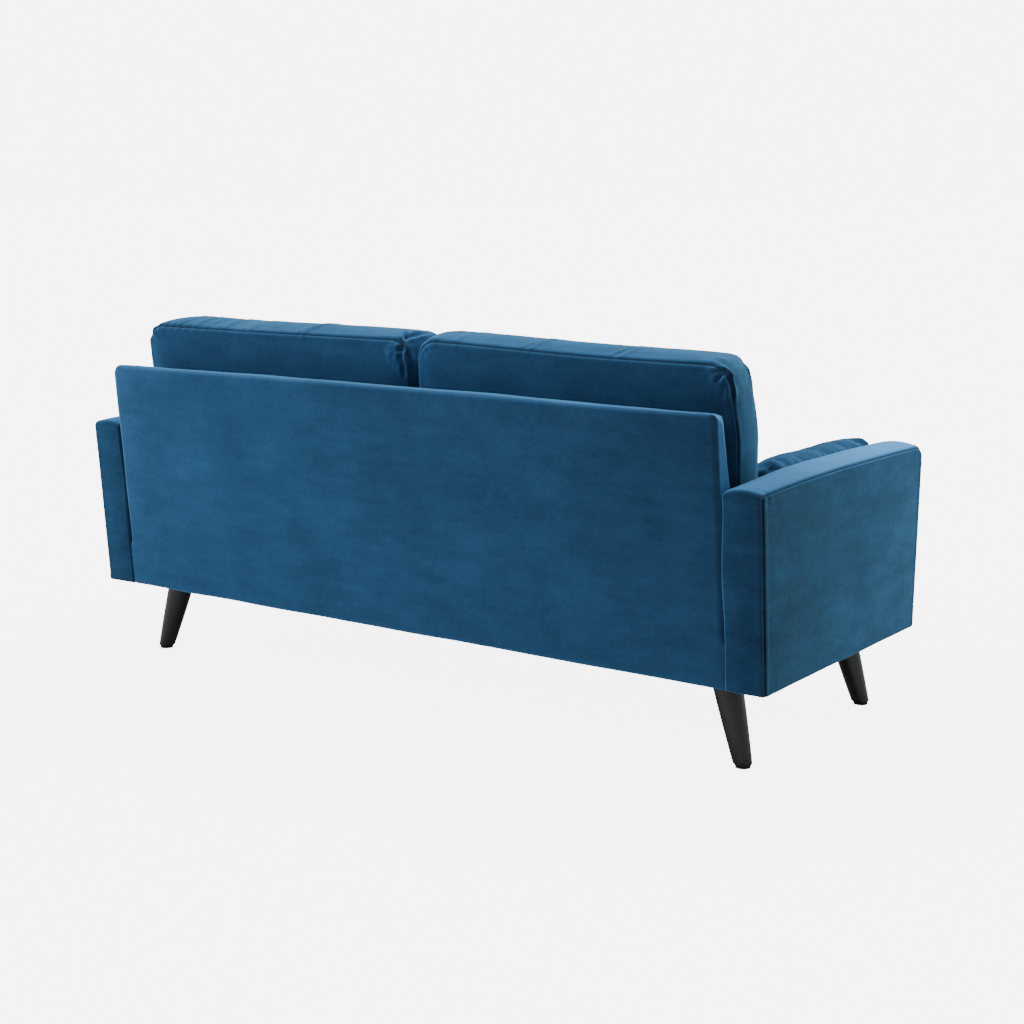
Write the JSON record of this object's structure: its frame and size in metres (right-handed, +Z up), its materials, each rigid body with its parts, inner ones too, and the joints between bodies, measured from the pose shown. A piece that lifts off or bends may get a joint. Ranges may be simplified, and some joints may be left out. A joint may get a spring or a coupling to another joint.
{
  "type": "two-seat sofa",
  "caption": "Upholstered two-seat sofa with slim padded arms, loose seat and back cushions, arm pillows and splayed tapered black legs.",
  "frame": {"origin": "on the floor, under the middle of the sofa's overall box", "axes": "+Z up, front of the sofa towards -Y, the sitter's left towards +X, along the width"},
  "size_m": [1.836, 0.795, 0.8221],
  "materials": {
    "black_cloth": "matte",
    "clip_plastic": "matte",
    "fibre_board": "matte",
    "foam_filling": "matte",
    "frame_wood": "matte",
    "glide_plastic": "matte",
    "leg_black": "satin",
    "spring_steel": "satin",
    "velvet_blue": "matte",
    "wadding": "matte",
    "zinc_steel": "satin",
    "zip_nylon": "matte"
  },
  "bodies": {
    "sofa_frame": {"arm_bolts": "zinc_steel", "arm_left_bottom_rail": "frame_wood", "arm_left_cover": "velvet_blue", "arm_left_pad": "wadding", "arm_left_panels": "frame_wood", "arm_left_posts": "frame_wood", "arm_left_top_rail": "frame_wood", "arm_right_bottom_rail": "frame_wood", "arm_right_cover": "velvet_blue", "arm_right_pad": "wadding", "arm_right_panels": "frame_wood", "arm_right_posts": "frame_wood", "arm_right_top_rail": "frame_wood", "back_board": "fibre_board", "back_bolts": "zinc_steel", "back_bottom_rail": "frame_wood", "back_cover": "velvet_blue", "back_pad": "wadding", "back_post_centre": "frame_wood", "back_post_left": "frame_wood", "back_post_right": "frame_wood", "back_springs": "spring_steel", "back_top_rail": "frame_wood", "centre_stretcher": "frame_wood", "corner_blocks": "frame_wood", "deck_cover": "black_cloth", "deck_pad": "wadding", "dust_cover": "black_cloth", "front_border": "velvet_blue", "front_rail": "frame_wood", "hanger_bolts": "zinc_steel", "leg_front_left": "leg_black", "leg_front_right": "leg_black", "leg_glides": "glide_plastic", "leg_plates": "zinc_steel", "leg_rear_left": "leg_black", "leg_rear_right": "leg_black", "outside_back": "velvet_blue", "plate_screws": "zinc_steel", "rear_rail": "frame_wood", "seat_springs": "spring_steel", "side_rail_left": "frame_wood", "side_rail_right": "frame_wood", "spring_clips": "clip_plastic"},
    "seat_cushion_left": {"seat_cushion_left_core": "foam_filling", "seat_cushion_left_cover": "velvet_blue", "seat_cushion_left_zip": "zip_nylon"},
    "back_cushion_left": {"back_cushion_left_core": "foam_filling", "back_cushion_left_cover": "velvet_blue", "back_cushion_left_zip": "zip_nylon"},
    "arm_pillow_left": {"arm_pillow_left_core": "foam_filling", "arm_pillow_left_cover": "velvet_blue"},
    "seat_cushion_right": {"seat_cushion_right_core": "foam_filling", "seat_cushion_right_cover": "velvet_blue", "seat_cushion_right_zip": "zip_nylon"},
    "back_cushion_right": {"back_cushion_right_core": "foam_filling", "back_cushion_right_cover": "velvet_blue", "back_cushion_right_zip": "zip_nylon"},
    "arm_pillow_right": {"arm_pillow_right_core": "foam_filling", "arm_pillow_right_cover": "velvet_blue"}
  },
  "joints": [
    {"name": "seat_cushion_left_lift", "type": "slide", "parent": "sofa_frame", "child": "seat_cushion_left", "axis": [0, 0, 1], "range_m": [0, 0.4]},
    {"name": "back_cushion_left_lift", "type": "slide", "parent": "seat_cushion_left", "child": "back_cushion_left", "axis": [0, 0, 1], "range_m": [0, 0.35]},
    {"name": "arm_pillow_left_lift", "type": "slide", "parent": "seat_cushion_left", "child": "arm_pillow_left", "axis": [0, 0, 1], "range_m": [0, 0.25]},
    {"name": "seat_cushion_right_lift", "type": "slide", "parent": "sofa_frame", "child": "seat_cushion_right", "axis": [0, 0, 1], "range_m": [0, 0.4]},
    {"name": "back_cushion_right_lift", "type": "slide", "parent": "seat_cushion_right", "child": "back_cushion_right", "axis": [0, 0, 1], "range_m": [0, 0.35]},
    {"name": "arm_pillow_right_lift", "type": "slide", "parent": "seat_cushion_right", "child": "arm_pillow_right", "axis": [0, 0, 1], "range_m": [0, 0.25]}
  ]
}
